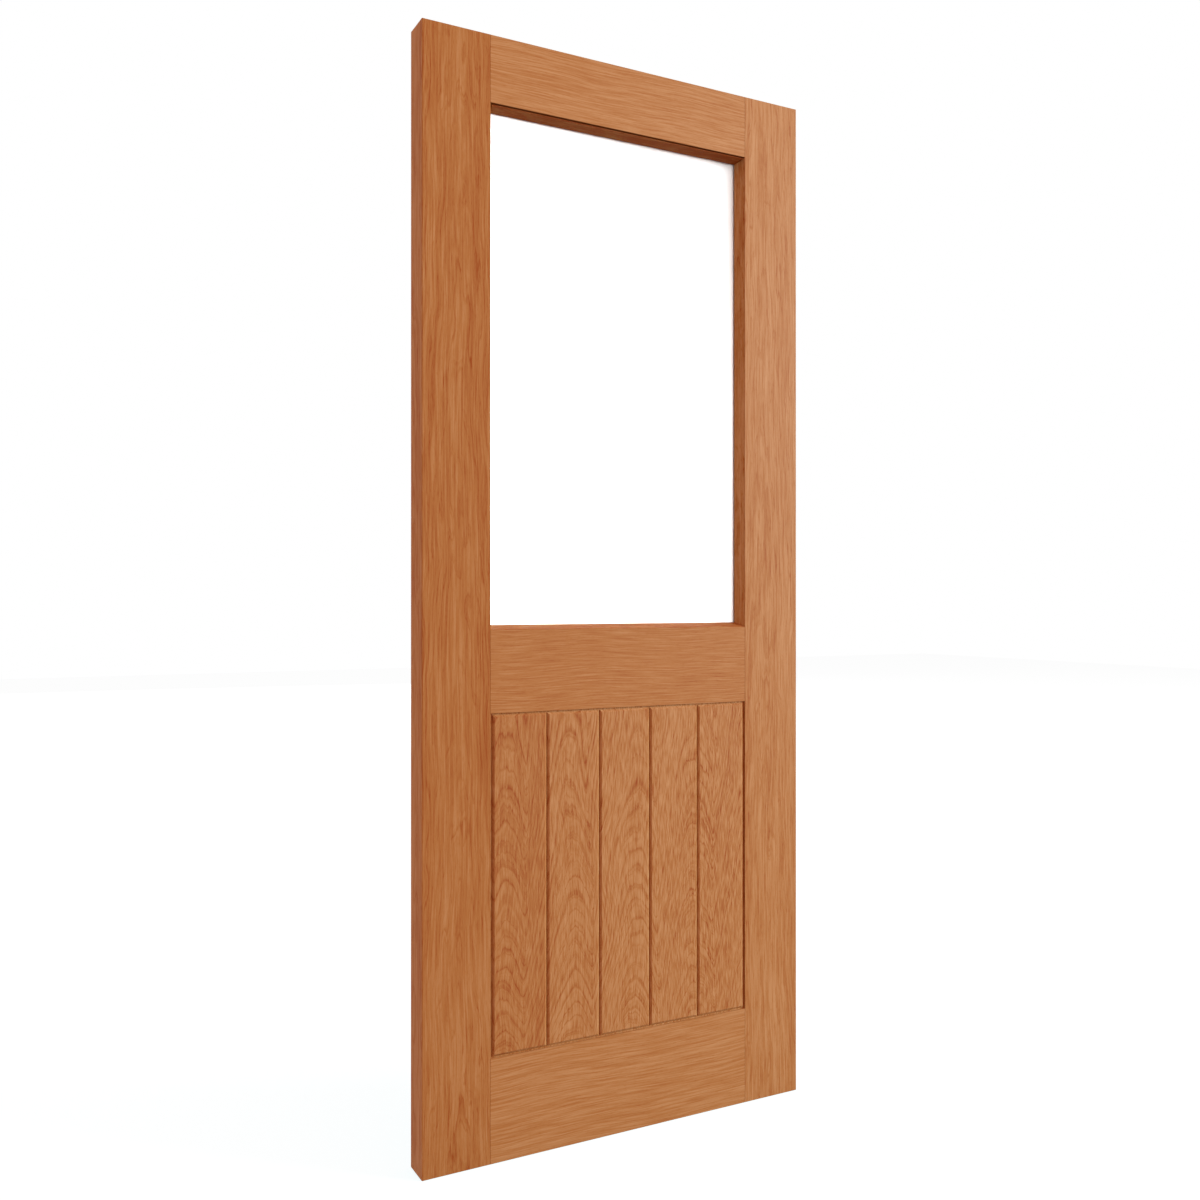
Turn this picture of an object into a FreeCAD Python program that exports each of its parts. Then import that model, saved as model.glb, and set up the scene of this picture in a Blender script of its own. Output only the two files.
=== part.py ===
import FreeCAD, Part
import os
from FreeCAD import Vector

# A half glazed door leaf in oak, in millimetres.
# X runs across the leaf from the hinge edge, Y runs through it with the front face towards -Y,
# and Z runs up from the leaf's bottom edge. The origin is on the hinge edge, mid-thickness, at the bottom.

# The leaf
DOOR_HEIGHT = 2032.0
DOOR_WIDTH = 813.0
DOOR_THICKNESS = 60.0
EDGE_ROUND = 1.5

# The frame
STILE_WIDTH = 128.8
TOP_RAIL_HEIGHT = 121.5
MIDDLE_RAIL_HEIGHT = 150.0
BOTTOM_RAIL_HEIGHT = 189.0
PANEL_HEIGHT = 621.5
SHOULDER_BEVEL = 0.6

# The joints of the frame
TENON_THICKNESS = 20.0
TENON_LENGTH = 70.0
TENON_SETBACK = 25.0
MORTISE_CLEARANCE = 0.3

# The boards of the lower panel, a layer on each face
BOARD_COUNT = 5
BOARD_THICKNESS = 16.0
SLOPE_WIDTH = 3.9
SLOPE_DEPTH = 2.5
CHANNEL_WIDTH = 1.6
SIDE_CHANNEL_WIDTH = 4.6
END_CHANNEL_WIDTH = 3.2
CHANNEL_DEPTH = 3.6
TONGUE_THICKNESS = 5.0
TONGUE_GRIP = 8.0
TONGUE_CLEARANCE = 0.2
CORE_CLEARANCE = 0.5

# The glazing
GLASS_THICKNESS = 6.0
GLASS_EDGE_GAP = 3.0
TAPE_THICKNESS = 2.0
TAPE_SETBACK = 2.0
BEAD_WIDTH = 9.0
BEAD_SETBACK = 1.0
BEAD_NOSE = 0.8
BEAD_TOE = 1.5
TOP_QUIRK_WIDTH = 3.4
QUIRK_BACK_DEPTH = 12.0

# Places that follow from the sizes
FRONT = -DOOR_THICKNESS / 2
OPENING_LEFT = STILE_WIDTH
OPENING_RIGHT = DOOR_WIDTH - STILE_WIDTH
PANEL_BOTTOM = BOTTOM_RAIL_HEIGHT
PANEL_TOP = PANEL_BOTTOM + PANEL_HEIGHT
LIGHT_BOTTOM = PANEL_TOP + MIDDLE_RAIL_HEIGHT
LIGHT_TOP = DOOR_HEIGHT - TOP_RAIL_HEIGHT
GLASS_FRONT_DEPTH = (DOOR_THICKNESS - GLASS_THICKNESS) / 2
BEAD_BACK_DEPTH = GLASS_FRONT_DEPTH - TAPE_THICKNESS
BOARD_PITCH = (OPENING_RIGHT - OPENING_LEFT - 2 * SIDE_CHANNEL_WIDTH + CHANNEL_WIDTH) / BOARD_COUNT
BOARD_WIDTH = BOARD_PITCH - CHANNEL_WIDTH


def at_depth(depth):
    """The Y of a plane this deep behind the front face."""
    return FRONT + depth


def block(x_span, y_span, z_span):
    """A box from three pairs of low and high coordinates."""
    corner = Vector(x_span[0], y_span[0], z_span[0])
    return Part.makeBox(x_span[1] - x_span[0], y_span[1] - y_span[0], z_span[1] - z_span[0], corner)


def on_the_back(shape):
    """The same shape on the other face of the leaf."""
    return shape.mirror(Vector(0, 0, 0), Vector(0, 1, 0))


def on_the_lock_side(shape):
    """The same shape on the other side of the leaf's upright centre line."""
    return shape.mirror(Vector(DOOR_WIDTH / 2, 0, 0), Vector(1, 0, 0))


def tenon_heights(rail_bottom, rail_top):
    return rail_bottom + TENON_SETBACK, rail_top - TENON_SETBACK


def mortise(rail_bottom, rail_top):
    """The hole in the hinge stile for one rail's tenon."""
    low, high = tenon_heights(rail_bottom, rail_top)
    half_thickness = TENON_THICKNESS / 2 + MORTISE_CLEARANCE
    return block(
        (STILE_WIDTH - TENON_LENGTH - MORTISE_CLEARANCE, STILE_WIDTH),
        (-half_thickness, half_thickness),
        (low - MORTISE_CLEARANCE, high + MORTISE_CLEARANCE),
    )


def tongue_groove(x_span, z_span):
    """The slot that takes the front boards' tongues, cut to this reach across and up."""
    depths = (
        at_depth(CHANNEL_DEPTH - TONGUE_CLEARANCE),
        at_depth(CHANNEL_DEPTH + TONGUE_THICKNESS + TONGUE_CLEARANCE),
    )
    return block(x_span, depths, z_span)


def hinge_stile():
    """The full-height upright on the hinge side, with its mortises and the grooves for the boards."""
    stile = block((0, STILE_WIDTH), (FRONT, -FRONT), (0, DOOR_HEIGHT))
    outer_edges = [
        edge for edge in stile.Edges if all(vertex.X < EDGE_ROUND for vertex in edge.Vertexes)
    ]
    long_edges = [edge for edge in outer_edges if edge.Length == DOOR_HEIGHT]
    stile = stile.makeFillet(EDGE_ROUND, long_edges)
    groove_depth = TONGUE_GRIP + TONGUE_CLEARANCE
    groove = tongue_groove(
        (STILE_WIDTH - groove_depth, STILE_WIDTH),
        (PANEL_BOTTOM - groove_depth, PANEL_TOP + groove_depth),
    )
    cuts = [
        mortise(0, BOTTOM_RAIL_HEIGHT),
        mortise(PANEL_TOP, LIGHT_BOTTOM),
        mortise(LIGHT_TOP, DOOR_HEIGHT),
        groove,
        on_the_back(groove),
    ]
    return stile.cut(cuts)


def rail(bottom, top, groove_spans):
    """A rail between the stiles, with a tenon at each end and its shoulders slightly bevelled."""
    body = block((OPENING_LEFT, OPENING_RIGHT), (FRONT, -FRONT), (bottom, top))
    shoulder_edges = [
        edge
        for edge in body.Edges
        if abs(edge.Vertexes[0].Z - edge.Vertexes[1].Z) > SHOULDER_BEVEL
    ]
    body = body.makeChamfer(SHOULDER_BEVEL, shoulder_edges)
    tenon = block(
        (OPENING_LEFT - TENON_LENGTH, OPENING_RIGHT + TENON_LENGTH),
        (-TENON_THICKNESS / 2, TENON_THICKNESS / 2),
        tenon_heights(bottom, top),
    )
    body = body.fuse(tenon)
    for heights in groove_spans:
        groove = tongue_groove((OPENING_LEFT, OPENING_RIGHT), heights)
        body = body.cut([groove, on_the_back(groove)])
    return body.removeSplitter()


def top_rail():
    return rail(LIGHT_TOP, DOOR_HEIGHT, [])


def middle_rail():
    return rail(PANEL_TOP, LIGHT_BOTTOM, [(PANEL_TOP, PANEL_TOP + TONGUE_GRIP + TONGUE_CLEARANCE)])


def bottom_rail():
    groove = (PANEL_BOTTOM - TONGUE_GRIP - TONGUE_CLEARANCE, PANEL_BOTTOM)
    return rail(0, BOTTOM_RAIL_HEIGHT, [groove])


def board_body(x_span, z_span):
    """A board with a front face whose four edges slope back."""
    face = Part.makeWedge(
        x_span[0] + SLOPE_WIDTH, FRONT, z_span[0] + SLOPE_WIDTH,
        z_span[0], x_span[0],
        x_span[1] - SLOPE_WIDTH, at_depth(SLOPE_DEPTH), z_span[1] - SLOPE_WIDTH,
        z_span[1], x_span[1],
    )
    return face.fuse(block(x_span, (at_depth(SLOPE_DEPTH), at_depth(BOARD_THICKNESS)), z_span))


def front_board(number):
    """One upright board of the front layer, with tongues that close the channels beside it."""
    left = OPENING_LEFT + SIDE_CHANNEL_WIDTH + number * BOARD_PITCH
    right = left + BOARD_WIDTH
    is_first = number == 0
    is_last = number == BOARD_COUNT - 1
    side_reach = SIDE_CHANNEL_WIDTH + TONGUE_GRIP
    heights = (PANEL_BOTTOM + END_CHANNEL_WIDTH, PANEL_TOP - END_CHANNEL_WIDTH)
    body = board_body((left, right), heights)
    tongue_left = left - side_reach if is_first else left
    tongue_right = right + (side_reach if is_last else CHANNEL_WIDTH + TONGUE_GRIP)
    tongue_heights = (PANEL_BOTTOM - TONGUE_GRIP, PANEL_TOP + TONGUE_GRIP)
    tongue = block(
        (tongue_left, tongue_right),
        (at_depth(CHANNEL_DEPTH), at_depth(CHANNEL_DEPTH + TONGUE_THICKNESS)),
        tongue_heights,
    )
    board = body.fuse(tongue)
    if not is_first:
        board = board.cut(tongue_groove((left, left + TONGUE_GRIP + TONGUE_CLEARANCE), tongue_heights))
    return board.removeSplitter()


def panel_core():
    """The flat core between the two layers of boards."""
    layer_back = at_depth(BOARD_THICKNESS)
    return block(
        (OPENING_LEFT + CORE_CLEARANCE, OPENING_RIGHT - CORE_CLEARANCE),
        (layer_back, -layer_back),
        (PANEL_BOTTOM + CORE_CLEARANCE, PANEL_TOP - CORE_CLEARANCE),
    )


def light_block(inset, y_span):
    """A box that fills the glazed opening, drawn in from its edges by the inset."""
    return block(
        (OPENING_LEFT + inset, OPENING_RIGHT - inset),
        y_span,
        (LIGHT_BOTTOM + inset, LIGHT_TOP - inset),
    )


def glass_pane():
    return light_block(GLASS_EDGE_GAP, (-GLASS_THICKNESS / 2, GLASS_THICKNESS / 2))


def front_tape():
    """The glazing tape that beds the glass on the front beads."""
    y_span = (at_depth(BEAD_BACK_DEPTH), at_depth(GLASS_FRONT_DEPTH))
    return light_block(0, y_span).cut(light_block(BEAD_WIDTH - TAPE_SETBACK, y_span))


def bead_section(quirk_width):
    """A bead's outline as (distance in from the frame, depth), with a shadow gap of this width or none."""
    outline = [
        (quirk_width, BEAD_SETBACK),
        (quirk_width + BEAD_NOSE, BEAD_SETBACK),
        (BEAD_WIDTH, BEAD_BACK_DEPTH - BEAD_TOE),
        (BEAD_WIDTH, BEAD_BACK_DEPTH),
        (0, BEAD_BACK_DEPTH),
    ]
    if quirk_width > 0:
        outline += [(0, QUIRK_BACK_DEPTH), (quirk_width, QUIRK_BACK_DEPTH)]
    return outline


def extruded(points, direction):
    """A prism from a closed outline of points."""
    outline = Part.makePolygon(points + points[:1])
    return Part.Face(outline).extrude(direction)


def front_side_bead():
    """The upright bead against the hinge stile, mitred at both ends."""
    points = [
        Vector(OPENING_LEFT + inwards, at_depth(depth), LIGHT_BOTTOM) for inwards, depth in bead_section(0)
    ]
    strip = extruded(points, Vector(0, 0, LIGHT_TOP - LIGHT_BOTTOM))
    mitred_face = [
        Vector(OPENING_LEFT, FRONT, LIGHT_BOTTOM),
        Vector(OPENING_LEFT, FRONT, LIGHT_TOP),
        Vector(OPENING_LEFT + BEAD_WIDTH, FRONT, LIGHT_TOP - BEAD_WIDTH),
        Vector(OPENING_LEFT + BEAD_WIDTH, FRONT, LIGHT_BOTTOM + BEAD_WIDTH),
    ]
    return strip.common(extruded(mitred_face, Vector(0, DOOR_THICKNESS, 0)))


def front_level_bead(frame_edge, inward, quirk_width):
    """A bead against a rail's edge, mitred at both ends; inward is +1 above the edge and -1 below it."""
    points = [
        Vector(OPENING_LEFT, at_depth(depth), frame_edge + inward * inwards)
        for inwards, depth in bead_section(quirk_width)
    ]
    strip = extruded(points, Vector(OPENING_RIGHT - OPENING_LEFT, 0, 0))
    sight_edge = frame_edge + inward * BEAD_WIDTH
    mitred_face = [
        Vector(OPENING_LEFT, FRONT, frame_edge),
        Vector(OPENING_RIGHT, FRONT, frame_edge),
        Vector(OPENING_RIGHT - BEAD_WIDTH, FRONT, sight_edge),
        Vector(OPENING_LEFT + BEAD_WIDTH, FRONT, sight_edge),
    ]
    return strip.common(extruded(mitred_face, Vector(0, DOOR_THICKNESS, 0)))


def front_beads():
    hinge_side = front_side_bead()
    return {
        "hinge_side": hinge_side,
        "lock_side": on_the_lock_side(hinge_side),
        "top": front_level_bead(LIGHT_TOP, -1, TOP_QUIRK_WIDTH),
        "bottom": front_level_bead(LIGHT_BOTTOM, 1, 0),
    }


def all_pieces():
    """Every piece of the leaf by its node's name."""
    stile = hinge_stile()
    pieces = {
        "hinge_stile": stile,
        "lock_stile": on_the_lock_side(stile),
        "top_rail": top_rail(),
        "middle_rail": middle_rail(),
        "bottom_rail": bottom_rail(),
        "panel_core": panel_core(),
        "glass_pane": glass_pane(),
    }
    tape = front_tape()
    pieces["front_glazing_tape"] = tape
    pieces["back_glazing_tape"] = on_the_back(tape)
    for number in range(BOARD_COUNT):
        board = front_board(number)
        pieces[f"front_board_{number + 1}"] = board
        pieces[f"back_board_{number + 1}"] = on_the_back(board)
    for place, bead in front_beads().items():
        pieces[f"front_bead_{place}"] = bead
        pieces[f"back_bead_{place}"] = on_the_back(bead)
    return pieces


def main():
    os.makedirs("parts", exist_ok=True)
    for name, piece in all_pieces().items():
        solids = piece.Solids
        print(name, "solids", len(solids), "valid", piece.isValid(), "volume", round(piece.Volume, 1))
        solids[0].exportStep(f"parts/{name}.step")


main()
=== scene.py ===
import bpy
import math
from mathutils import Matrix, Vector


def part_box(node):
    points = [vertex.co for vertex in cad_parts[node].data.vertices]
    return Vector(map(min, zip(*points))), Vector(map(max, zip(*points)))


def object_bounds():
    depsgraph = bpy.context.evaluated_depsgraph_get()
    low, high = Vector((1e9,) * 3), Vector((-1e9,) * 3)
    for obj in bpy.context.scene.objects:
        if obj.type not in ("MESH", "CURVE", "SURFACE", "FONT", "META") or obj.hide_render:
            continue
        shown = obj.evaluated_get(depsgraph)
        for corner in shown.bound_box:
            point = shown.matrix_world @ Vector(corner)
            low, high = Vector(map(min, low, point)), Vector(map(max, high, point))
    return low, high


# The looks of a half glazed oak door: oiled oak with its grain along each piece, and satin glass.
# Everything is in metres. X runs across the leaf, the front faces -Y and Z is up.

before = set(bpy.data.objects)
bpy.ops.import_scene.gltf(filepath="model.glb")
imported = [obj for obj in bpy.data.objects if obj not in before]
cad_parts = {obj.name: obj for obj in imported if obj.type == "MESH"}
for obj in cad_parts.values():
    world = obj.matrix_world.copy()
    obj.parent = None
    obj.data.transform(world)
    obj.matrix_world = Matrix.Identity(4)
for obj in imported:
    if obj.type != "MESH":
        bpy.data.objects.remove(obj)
CAD_LOW, CAD_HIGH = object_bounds()

WHITE = (1.0, 1.0, 1.0, 1.0)

# The camera, where it stood for the photograph, with its lens and sensor in millimetres
LENS = 35.0
SENSOR = 36.0
CAMERA_PLACE = Vector((-0.68263, -1.97451, 1.01300))
CAMERA_TURN = math.radians(28.019)
CAMERA_RISE = math.radians(0.0463)

# The light of the room, which only rays that a dull surface has scattered meet
ROOM_LIGHT = (0.83, 0.20, 0.097, 1.0)

# The floor: its size, how far it lies below the leaf, the white it shows in the room's light alone,
# the share of light that it returns to the camera, and the colour that it returns to the leaf
FLOOR_SIZE = 30.0
FLOOR_DROP = 0.0005
FLOOR_WHITE = 0.97
FLOOR_SHARE = 0.25
FLOOR_TINT = (0.25, 0.175, 0.125, 1.0)

# The point that the lamps look at, and each lamp: degrees round from the front, degrees up,
# distance, width and height, and watts
LAMP_AIM = Vector((0.4, 0.0, 1.0))
LAMPS = {
    "key_lamp": (55.0, 14.0, 12.0, (4.5, 6.0), 1450.0),
    "left_lamp": (-85.0, 0.0, 6.0, (3.0, 4.0), 110.0),
    "back_lamp": (172.0, 5.0, 12.0, (3.0, 3.0), 480.0),
}

# The colours of the oak, from the darkest pores to the palest summer wood
OAK_DARK = (0.287, 0.093, 0.021, 1.0)
OAK_MIDDLE = (0.391, 0.223, 0.072, 1.0)
OAK_PALE = (0.495, 0.356, 0.166, 1.0)

# The oak's surface: how it mirrors, how rough it is and how much smoother where it is pale, and the
# relief of its fibres and ticks
OAK_IOR = 1.45
OAK_GLOSS = 0.20
OAK_ROUGHNESS = 0.56
PALE_SMOOTHING = 0.10
RELIEF_STRENGTH = 0.35
RELIEF_HEIGHT = 0.0002
FIBRE_RELIEF = 0.5
TICK_RELIEF = 0.8

# The patterns in the oak: how far each reaches across the grain, through the leaf and along the
# grain, its fine detail, and a shift that keeps it apart from the other patterns
PATTERNS = {
    "sway": ((0.30, 0.30, 0.34), 2.0, 0.0),
    "wobble": ((0.020, 0.03, 0.12), 1.0, 3.0),
    "broad": ((0.028, 0.04, 0.50), 1.0, 7.0),
    "streak": ((0.0045, 0.006, 0.20), 2.0, 11.0),
    "long_fibre": ((0.0024, 0.0024, 0.075), 2.0, 17.0),
    "short_fibre": ((0.0024, 0.0024, 0.028), 2.0, 17.0),
    "tick": ((0.0014, 0.0014, 0.010), 1.0, 23.0),
    "fade": ((0.030, 0.03, 0.07), 1.0, 29.0),
}

# The way that a shift moves a pattern
SHIFT_WAY = (1.0, 0.37, 0.61)

# The mean of every noise, and the tone of plain oak
MIDDLE = 0.5

# How far each pattern moves the tone, which is 0 in the darkest wood and 1 in the palest
BROAD_SWING = 0.35
STREAK_SWING = 0.45
FIBRE_SWING = 0.60
RING_DARKENING = 0.42
TICK_DARKENING = 0.45

# What rings and ticks take from the mean tone, which is given back to the whole piece
RING_REPAYMENT = 0.10
TICK_REPAYMENT = 0.06

# The growth rings: how dark they are from the start of one to the start of the next, how their
# spacing and strength vary from ring to ring, how fibres fray them, how they fade in places, and how
# softly two flames meet
RING_STOPS = [(0.0, 0.55), (0.10, 1.0), (0.42, 0.25), (0.80, 0.0), (1.0, 0.55)]
SPACING_RATE = 0.45
SPACING_SWING = 0.65
STRENGTH_RATE = 0.9
STRENGTH_SHIFT = 40.0
STRENGTH_GAIN = 2.2
STRENGTH_LOSS = 0.50
RING_FRAY = 0.18
FADE_GAIN = 1.5
FADE_FLOOR = 0.10
FLAME_BLEND = 0.012

# The ticks are short dark pores, darkest in the dark part of a ring
TICK_STOPS = [(0.52, 0.0), (0.70, 1.0)]
TICK_GAIN = 0.7
TICK_FLOOR = 0.5

# The stiles: a seed, how far across the stile its figure is centred, and what sets its oak apart. Their
# lifts are partly painted light: the lock stile on the right is painted paler and the hinge stile darker,
# as if the right side were lit more.
STILES = {
    "hinge": (2.0, 0.55, {"lift": -0.075, "gloss": 0.06, "streaks": 0.7, "fibres": 0.75, "ticks": 0.4}),
    "lock": (9.0, 0.35, {"lift": 0.09, "streaks": 0.6, "fibres": 0.95, "ticks": 0.5}),
}

# The rails: how much paler each one is, the first seed and the step to the next, and how far above
# its middle a rail's figure is centred
RAIL_LIFTS = {"top_rail": 0.13, "middle_rail": 0.02, "bottom_rail": 0.13}
RAIL_LOOK = {"streaks": 0.1, "ticks": 0.4, "rings": 0.1}
RAIL_SEED = 34.0
RAIL_SEED_STEP = 1.7
RAIL_FIGURE_RISE = 0.2

# The boards from left to right: how much paler each one is, the seeds, how far across the first
# board its flame stands and how much further on the next, and how much more its fibres show
BOARD_LIFTS = (-0.08, 0.07, 0.09, 0.07, 0.02)
BOARD_LOOK = {"streaks": 0.3, "ticks": 0.4, "rings": 1.45}
BOARD_SEEDS = {"front": 31.0, "back": 81.0}
BOARD_SEED_STEP = 5.3
FIRST_FLAME = 0.25
FLAME_STEP = 0.19
FIBRES_STEP = 0.15

# The beads: how much paler each one is, the seeds, and how far beside it a bead's figure is centred. The
# lifts are painted shade and light by the way a bead faces: the top bead, facing down under the top rail,
# is painted much darker, the bottom bead somewhat darker and the side beads a little paler.
BEAD_PAINTED_SHADE = {"top": -0.50, "bottom": -0.15, "side": 0.05}
BEAD_LOOK = {"gloss": 0.05, "streaks": 0.6}
BEAD_SEED = 138.0
BEAD_SEED_STEP = 2.3
BEAD_FIGURE_ASIDE = 0.1

# The glass
GLASS_IOR = 1.5
GLASS_SATIN = 0.50

# What hides in the joints: the two colours of its specks, their size and its roughness
CORE_BOARD = ((0.20, 0.12, 0.06, 1.0), (0.36, 0.24, 0.13, 1.0), 0.0012, 0.8)
TAPE_FOAM = ((0.80, 0.79, 0.77, 1.0), (0.90, 0.89, 0.87, 1.0), 0.0006, 0.7)
SPECK_DETAIL = 4.0
SPECK_SHIFT = 5.0
SPECK_DARKEST = 0.2
SPECK_PALEST = 0.8


class Graph:
    """The nodes of a new material, or of a world that is given, added and joined up by short calls."""

    def __init__(self, name, owner=None):
        self.owner = owner or bpy.data.materials.new(name)
        self.owner.use_nodes = True
        self.tree = self.owner.node_tree
        self.tree.nodes.clear()

    def node(self, kind, inputs=None, **settings):
        made = self.tree.nodes.new("ShaderNode" + kind)
        for name, value in settings.items():
            setattr(made, name, value)
        for socket, value in (inputs or {}).items():
            self.feed(made.inputs[socket], value)
        return made

    def feed(self, socket, value):
        if isinstance(value, bpy.types.NodeSocket):
            self.tree.links.new(value, socket)
        else:
            socket.default_value = value

    def math(self, operation, *values, clamp=False):
        inputs = dict(enumerate(values))
        return self.node("Math", inputs, operation=operation, use_clamp=clamp).outputs[0]

    def total(self, *values):
        result = values[0]
        for value in values[1:]:
            result = self.math("ADD", result, value)
        return result

    def around_zero(self, value, amount):
        """A noise value moved to swing about zero by this amount either way."""
        return self.math("MULTIPLY", self.math("SUBTRACT", value, MIDDLE), 2 * amount)

    def stretched(self, place, lengths, shift):
        """The place in units of these lengths, moved by a shift that gives each use its own pattern."""
        scale = [1.0 / length for length in lengths]
        location = [shift * share for share in SHIFT_WAY]
        inputs = {"Vector": place, "Scale": scale, "Location": location}
        return self.node("Mapping", inputs).outputs[0]

    def noise(self, place, detail):
        """Soft noise with features about one unit across, from 0 to 1 about a mean of a half."""
        inputs = {"Vector": place, "Scale": 1.0, "Detail": detail}
        return self.node("TexNoise", inputs).outputs["Fac"]

    def noise_along(self, value, rate, shift):
        """Soft noise from 0 to 1 that follows one number, at this rate."""
        moved = self.math("ADD", self.math("MULTIPLY", value, rate), shift)
        return self.node("TexNoise", {"W": moved}, noise_dimensions="1D").outputs["Fac"]

    def curve(self, value, stops, interpolation="LINEAR"):
        """A value or colour read from a ramp of (place, value or colour) stops."""
        ramp = self.node("ValToRGB", {"Fac": value})
        ramp.color_ramp.interpolation = interpolation
        elements = ramp.color_ramp.elements
        for index, (place, colour) in enumerate(stops):
            element = elements[index] if index < len(elements) else elements.new(place)
            element.position = place
            element.color = colour if isinstance(colour, tuple) else (colour, colour, colour, 1.0)
        return ramp.outputs["Color"]

    def finish(self, shader):
        self.node("OutputMaterial", {"Surface": shader})
        return self.owner


def grain_space(graph, level):
    """Object coordinates as a place and its parts: across the grain, through the leaf, along the grain."""
    place = graph.node("TexCoord").outputs["Object"]
    parts = graph.node("SeparateXYZ", {0: place}).outputs
    if not level:
        return place, parts["X"], parts["Y"], parts["Z"]
    turned = graph.node("CombineXYZ", {"X": parts["Z"], "Y": parts["Y"], "Z": parts["X"]}).outputs[0]
    return turned, parts["Z"], parts["Y"], parts["X"]


def pattern(graph, name, place, seed):
    """One of the oak's patterns, as noise from 0 to 1."""
    lengths, detail, shift = PATTERNS[name]
    return graph.noise(graph.stretched(place, lengths, seed + shift), detail)


def cone(graph, across, depth):
    """Distance from a pith line, which gives the growth rings their arched cut."""
    across_squared = graph.math("MULTIPLY", across, across)
    depth_squared = graph.math("MULTIPLY", depth, depth)
    return graph.math("SQRT", graph.math("ADD", across_squared, depth_squared))


def ring_radius(graph, figure, place, centred, depth, along, seed):
    """How far out in the rings each place was cut: its distance from the pith, less the taper."""
    behind = graph.math("SUBTRACT", depth, figure["pith_depth"])
    radius = cone(graph, centred, behind)
    if "next_flame" in figure:
        gap, drop = figure["next_flame"]
        for side in (1.0, -1.0):
            beside = graph.math("SUBTRACT", centred, side * gap)
            other = graph.math("SUBTRACT", cone(graph, beside, behind), side * drop)
            radius = graph.math("SMOOTH_MIN", radius, other, FLAME_BLEND)
    fallen = graph.math("SUBTRACT", figure["top"], along)
    steepness = graph.math("MULTIPLY_ADD", fallen, figure["spread"], figure["taper"])
    taper = graph.math("MULTIPLY", fallen, steepness)
    wobble = graph.around_zero(pattern(graph, "wobble", place, seed), figure["wobble"])
    return graph.total(graph.math("SUBTRACT", radius, taper), wobble)


def ring_tone(graph, radius, ring_width, fray, seed):
    """The dark line at the start of each ring, from 0 to 1, with uneven spacing and strength."""
    turns = graph.math("ADD", graph.math("DIVIDE", radius, ring_width), fray)
    spacing = graph.around_zero(graph.noise_along(turns, SPACING_RATE, seed), SPACING_SWING)
    phase = graph.math("FRACT", graph.math("ADD", turns, spacing))
    line = graph.curve(phase, RING_STOPS, "EASE")
    uneven = graph.noise_along(turns, STRENGTH_RATE, seed + STRENGTH_SHIFT)
    strength = graph.math("MULTIPLY_ADD", uneven, STRENGTH_GAIN, -STRENGTH_LOSS, clamp=True)
    return graph.math("MULTIPLY", line, strength)


def oak(name, seed, figure, level=False, lift=0.0, gloss=OAK_GLOSS,
        streaks=1.0, fibres=1.0, ticks=1.0, rings=1.0):
    """Oiled oak with its grain upright, or along X where it is level.

    The figure says how the growth rings were cut, and the seed makes the pattern this piece's own.
    Lift makes the piece paler, and the last four values say how strongly each pattern shows.
    """
    graph = Graph(name)
    place, across, depth, along = grain_space(graph, level)
    sway = graph.around_zero(pattern(graph, "sway", place, seed), figure["sway"])
    centred = graph.math("ADD", graph.math("SUBTRACT", across, figure["centre"]), sway)
    radius = ring_radius(graph, figure, place, centred, depth, along, seed)

    swayed = graph.node("CombineXYZ", {"X": centred, "Y": depth, "Z": along}).outputs[0]
    broad = pattern(graph, "broad", swayed, seed)
    streak = pattern(graph, "streak", swayed, seed)
    fibre = pattern(graph, figure["fibre"], swayed, seed)
    fade = pattern(graph, "fade", swayed, seed)
    fade = graph.math("MULTIPLY_ADD", fade, FADE_GAIN, FADE_FLOOR, clamp=True)
    ring = ring_tone(graph, radius, figure["ring_width"], graph.around_zero(fibre, RING_FRAY), seed)
    ring = graph.math("MULTIPLY", ring, fade)
    tick = graph.curve(pattern(graph, "tick", swayed, seed), TICK_STOPS)
    tick = graph.math("MULTIPLY", tick, graph.math("MULTIPLY_ADD", ring, TICK_GAIN, TICK_FLOOR))

    tone = graph.total(
        graph.around_zero(broad, BROAD_SWING * streaks),
        graph.around_zero(streak, STREAK_SWING * streaks),
        graph.around_zero(fibre, FIBRE_SWING * fibres),
        graph.math("MULTIPLY", ring, -RING_DARKENING * rings),
        graph.math("MULTIPLY", tick, -TICK_DARKENING * ticks),
        MIDDLE + lift + RING_REPAYMENT * rings + TICK_REPAYMENT * ticks,
    )
    fibre_height = graph.math("MULTIPLY", fibre, FIBRE_RELIEF)
    height = graph.math("SUBTRACT", fibre_height, graph.math("MULTIPLY", tick, TICK_RELIEF))
    relief = {"Height": height, "Strength": RELIEF_STRENGTH, "Distance": RELIEF_HEIGHT}
    shader = graph.node("BsdfPrincipled", {
        "Base Color": graph.curve(tone, [(0.0, OAK_DARK), (MIDDLE, OAK_MIDDLE), (1.0, OAK_PALE)]),
        "Roughness": graph.math("MULTIPLY_ADD", tone, -PALE_SMOOTHING, OAK_ROUGHNESS),
        "Normal": graph.node("Bump", relief).outputs[0],
        "IOR": OAK_IOR,
        "Specular IOR Level": gloss,
    })
    return graph.finish(shader.outputs[0])


def satin_glass():
    """Satin glass, white against the light, that lets the lamps reach what lies behind it."""
    graph = Graph("satin_glass")
    pane = graph.node("BsdfPrincipled", {
        "Base Color": WHITE,
        "Roughness": GLASS_SATIN,
        "IOR": GLASS_IOR,
        "Transmission Weight": 1.0,
    })
    open_way = graph.node("BsdfTransparent")
    for_lamps = graph.node("LightPath").outputs["Is Shadow Ray"]
    mixed = graph.node("MixShader", {0: for_lamps, 1: pane.outputs[0], 2: open_way.outputs[0]})
    return graph.finish(mixed.outputs[0])


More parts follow.
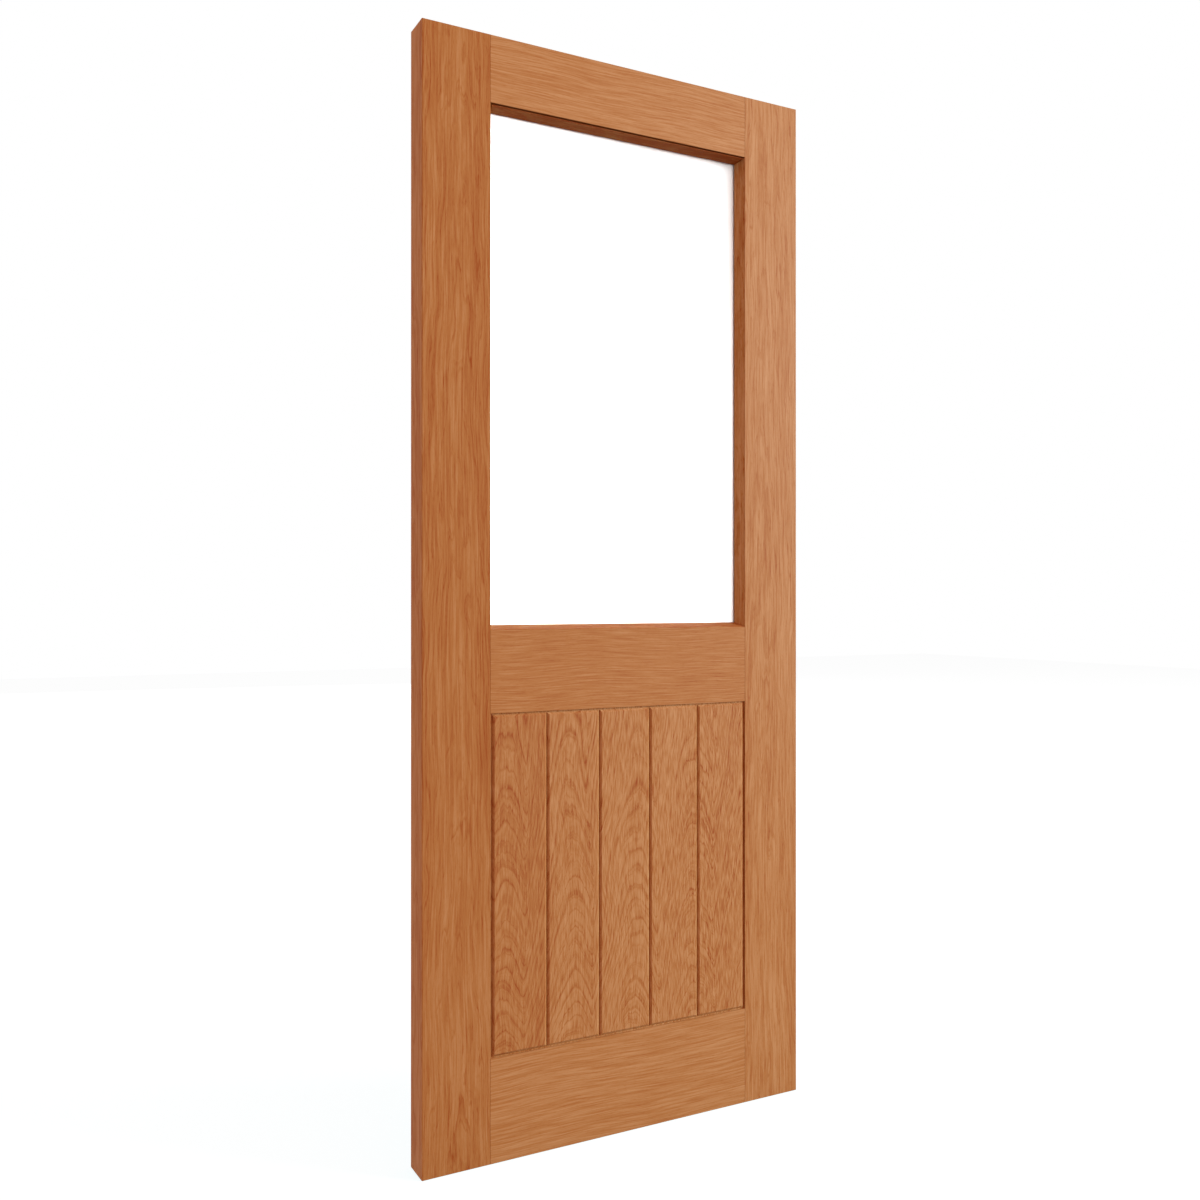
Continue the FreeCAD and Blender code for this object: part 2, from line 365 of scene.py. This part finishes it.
def speckled(name, dark, pale, speck_size, roughness):
    """A plain dull material with a fine speckle between two colours, for what hides in the joints."""
    graph = Graph(name)
    place = graph.node("TexCoord").outputs["Object"]
    lengths = (speck_size, speck_size, speck_size)
    speck = graph.noise(graph.stretched(place, lengths, SPECK_SHIFT), SPECK_DETAIL)
    colour = graph.curve(speck, [(SPECK_DARKEST, dark), (SPECK_PALEST, pale)])
    shader = graph.node("BsdfPrincipled", {"Base Color": colour, "Roughness": roughness})
    return graph.finish(shader.outputs[0])


# A figure says how a piece was cut from the tree: where its centre line runs across the grain, how
# deep the pith lies, the height of its top and how fast the rings widen below that, how far the
# grain sways and the rings wobble, how wide a ring is, and which fibre it has. The flames beside a
# flame stand a gap apart, one a drop lower and the other higher.


def straight_figure(centre):
    """Quiet grain, nearly straight, with long narrow spindles about a centre line."""
    return {
        "centre": centre,
        "pith_depth": 0.02,
        "top": 2.0,
        "taper": 0.030,
        "spread": 0.0,
        "sway": 0.014,
        "wobble": 0.010,
        "ring_width": 0.0075,
        "fibre": "long_fibre",
    }


def flame_figure(centre, top):
    """Tall arches that point up and crowd together lower down, as on a crown-cut board."""
    return {
        "centre": centre,
        "pith_depth": 0.022,
        "top": top,
        "taper": 0.09,
        "spread": 0.117,
        "sway": 0.030,
        "wobble": 0.0030,
        "ring_width": 0.0058,
        "fibre": "short_fibre",
        "next_flame": (0.125, 0.0346),
    }


def dress(node_name, material):
    """Gives a node its one material."""
    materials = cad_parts[node_name].data.materials
    materials.clear()
    materials.append(material)


def dress_stiles():
    for side, (seed, share, look) in STILES.items():
        node_name = side + "_stile"
        low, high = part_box(node_name)
        figure = straight_figure(low.x + share * (high.x - low.x))
        # The lifts in each look carry painted light: the lock stile is painted paler and the hinge stile
        # darker.
        dress(node_name, oak("stile_oak_" + side, seed, figure, **look))


def dress_rails():
    for number, (node_name, lift) in enumerate(RAIL_LIFTS.items()):
        low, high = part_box(node_name)
        figure = straight_figure((low.z + high.z) / 2 + RAIL_FIGURE_RISE)
        seed = RAIL_SEED + RAIL_SEED_STEP * number
        dress(node_name, oak("rail_oak_" + node_name, seed, figure, level=True, lift=lift, **RAIL_LOOK))


def dress_boards():
    for side, first_seed in BOARD_SEEDS.items():
        for number, lift in enumerate(BOARD_LIFTS):
            node_name = f"{side}_board_{number + 1}"
            low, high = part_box(node_name)
            centre = low.x + (FIRST_FLAME + FLAME_STEP * number) * (high.x - low.x)
            seed = first_seed + BOARD_SEED_STEP * number
            fibres = 1.0 + FIBRES_STEP * number
            material = oak("board_oak_" + node_name, seed, flame_figure(centre, high.z),
                           lift=lift, fibres=fibres, **BOARD_LOOK)
            dress(node_name, material)


def dress_beads():
    beads = sorted(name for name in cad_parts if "_bead_" in name)
    for number, node_name in enumerate(beads):
        ending = node_name.rsplit("_", 1)[1]
        level = ending in ("top", "bottom")
        low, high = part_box(node_name)
        middle = (low.z + high.z) / 2 if level else (low.x + high.x) / 2
        figure = straight_figure(middle + BEAD_FIGURE_ASIDE)
        seed = BEAD_SEED + BEAD_SEED_STEP * number
        # The lift is painted shade or light by the way the bead faces, darkest for the top bead.
        material = oak("bead_oak_" + node_name, seed, figure,
                       level=level, lift=BEAD_PAINTED_SHADE[ending], **BEAD_LOOK)
        dress(node_name, material)


def dress_glazing():
    dress("glass_pane", satin_glass())
    for side in ("front", "back"):
        dress(side + "_glazing_tape", speckled(side + "_tape_foam", *TAPE_FOAM))


def dress_core():
    dress("panel_core", speckled("core_board", *CORE_BOARD))


def make_camera():
    data = bpy.data.cameras.new("camera")
    data.sensor_width = SENSOR
    data.lens = LENS
    camera = bpy.data.objects.new("camera", data)
    camera.location = CAMERA_PLACE
    camera.rotation_euler = (math.pi / 2 + CAMERA_RISE, 0.0, -CAMERA_TURN)
    bpy.context.collection.objects.link(camera)
    bpy.context.scene.camera = camera
    bpy.context.scene.view_settings.view_transform = "Standard"


def shows_backdrop(graph):
    """1 for a ray from the camera, also by way of gloss or glass, until a dull surface scatters it."""
    path = graph.node("LightPath").outputs
    mirrored = graph.math("MAXIMUM", path["Is Glossy Ray"], path["Is Transmission Ray"])
    clear = graph.math("MAXIMUM", path["Is Camera Ray"], mirrored)
    unscattered = graph.math("SUBTRACT", 1.0, path["Diffuse Depth"], clamp=True)
    return graph.math("MULTIPLY", clear, unscattered)


def make_world():
    """A plain white backdrop, and dim warm light from all round as in a room full of timber."""
    world = bpy.data.worlds.new("studio")
    bpy.context.scene.world = world
    graph = Graph("studio", owner=world)
    around = graph.node("Background", {"Color": ROOM_LIGHT})
    backdrop = graph.node("Background", {"Color": WHITE})
    shown = shows_backdrop(graph)
    mixed = graph.node("MixShader", {0: shown, 1: around.outputs[0], 2: backdrop.outputs[0]})
    graph.node("OutputWorld", {"Surface": mixed.outputs[0]})


def make_floor():
    """A white floor that keeps the door's soft shadow and sends little light up from below.

    Its glow leaves out what the warm room already lends it, so that the shadow stays grey.
    """
    bpy.ops.mesh.primitive_plane_add(size=FLOOR_SIZE, location=(LAMP_AIM.x, 0.0, CAD_LOW.z - FLOOR_DROP))
    floor = bpy.context.object
    floor.name = "studio_floor"
    graph = Graph("floor_white")
    lit = graph.node("BsdfDiffuse", {"Color": (FLOOR_SHARE, FLOOR_SHARE, FLOOR_SHARE, 1.0)})
    red, green, blue = [FLOOR_WHITE - FLOOR_SHARE * light for light in ROOM_LIGHT[:3]]
    glow = graph.node("Emission", {"Color": (red, green, blue, 1.0)})
    white = graph.node("AddShader", {0: lit.outputs[0], 1: glow.outputs[0]})
    dull = graph.node("BsdfDiffuse", {"Color": FLOOR_TINT})
    shown = shows_backdrop(graph)
    mixed = graph.node("MixShader", {0: shown, 1: dull.outputs[0], 2: white.outputs[0]})
    floor.data.materials.append(graph.finish(mixed.outputs[0]))


def make_lamp(name, azimuth, elevation, distance, size, power):
    """A soft white lamp that looks at the door. Azimuth 0 is straight in front and 90 is to the right."""
    data = bpy.data.lights.new(name, "AREA")
    data.shape = "RECTANGLE"
    data.size, data.size_y = size
    data.energy = power
    lamp = bpy.data.objects.new(name, data)
    turn = math.radians(azimuth)
    rise = math.radians(elevation)
    way = Vector((math.sin(turn) * math.cos(rise), -math.cos(turn) * math.cos(rise), math.sin(rise)))
    lamp.location = LAMP_AIM + distance * way
    lamp.rotation_euler = way.to_track_quat("Z", "Y").to_euler()
    bpy.context.collection.objects.link(lamp)


make_camera()
make_world()
make_floor()
for lamp_name, lamp_values in LAMPS.items():
    make_lamp(lamp_name, *lamp_values)
dress_stiles()
dress_rails()
dress_boards()
dress_beads()
dress_glazing()
dress_core()
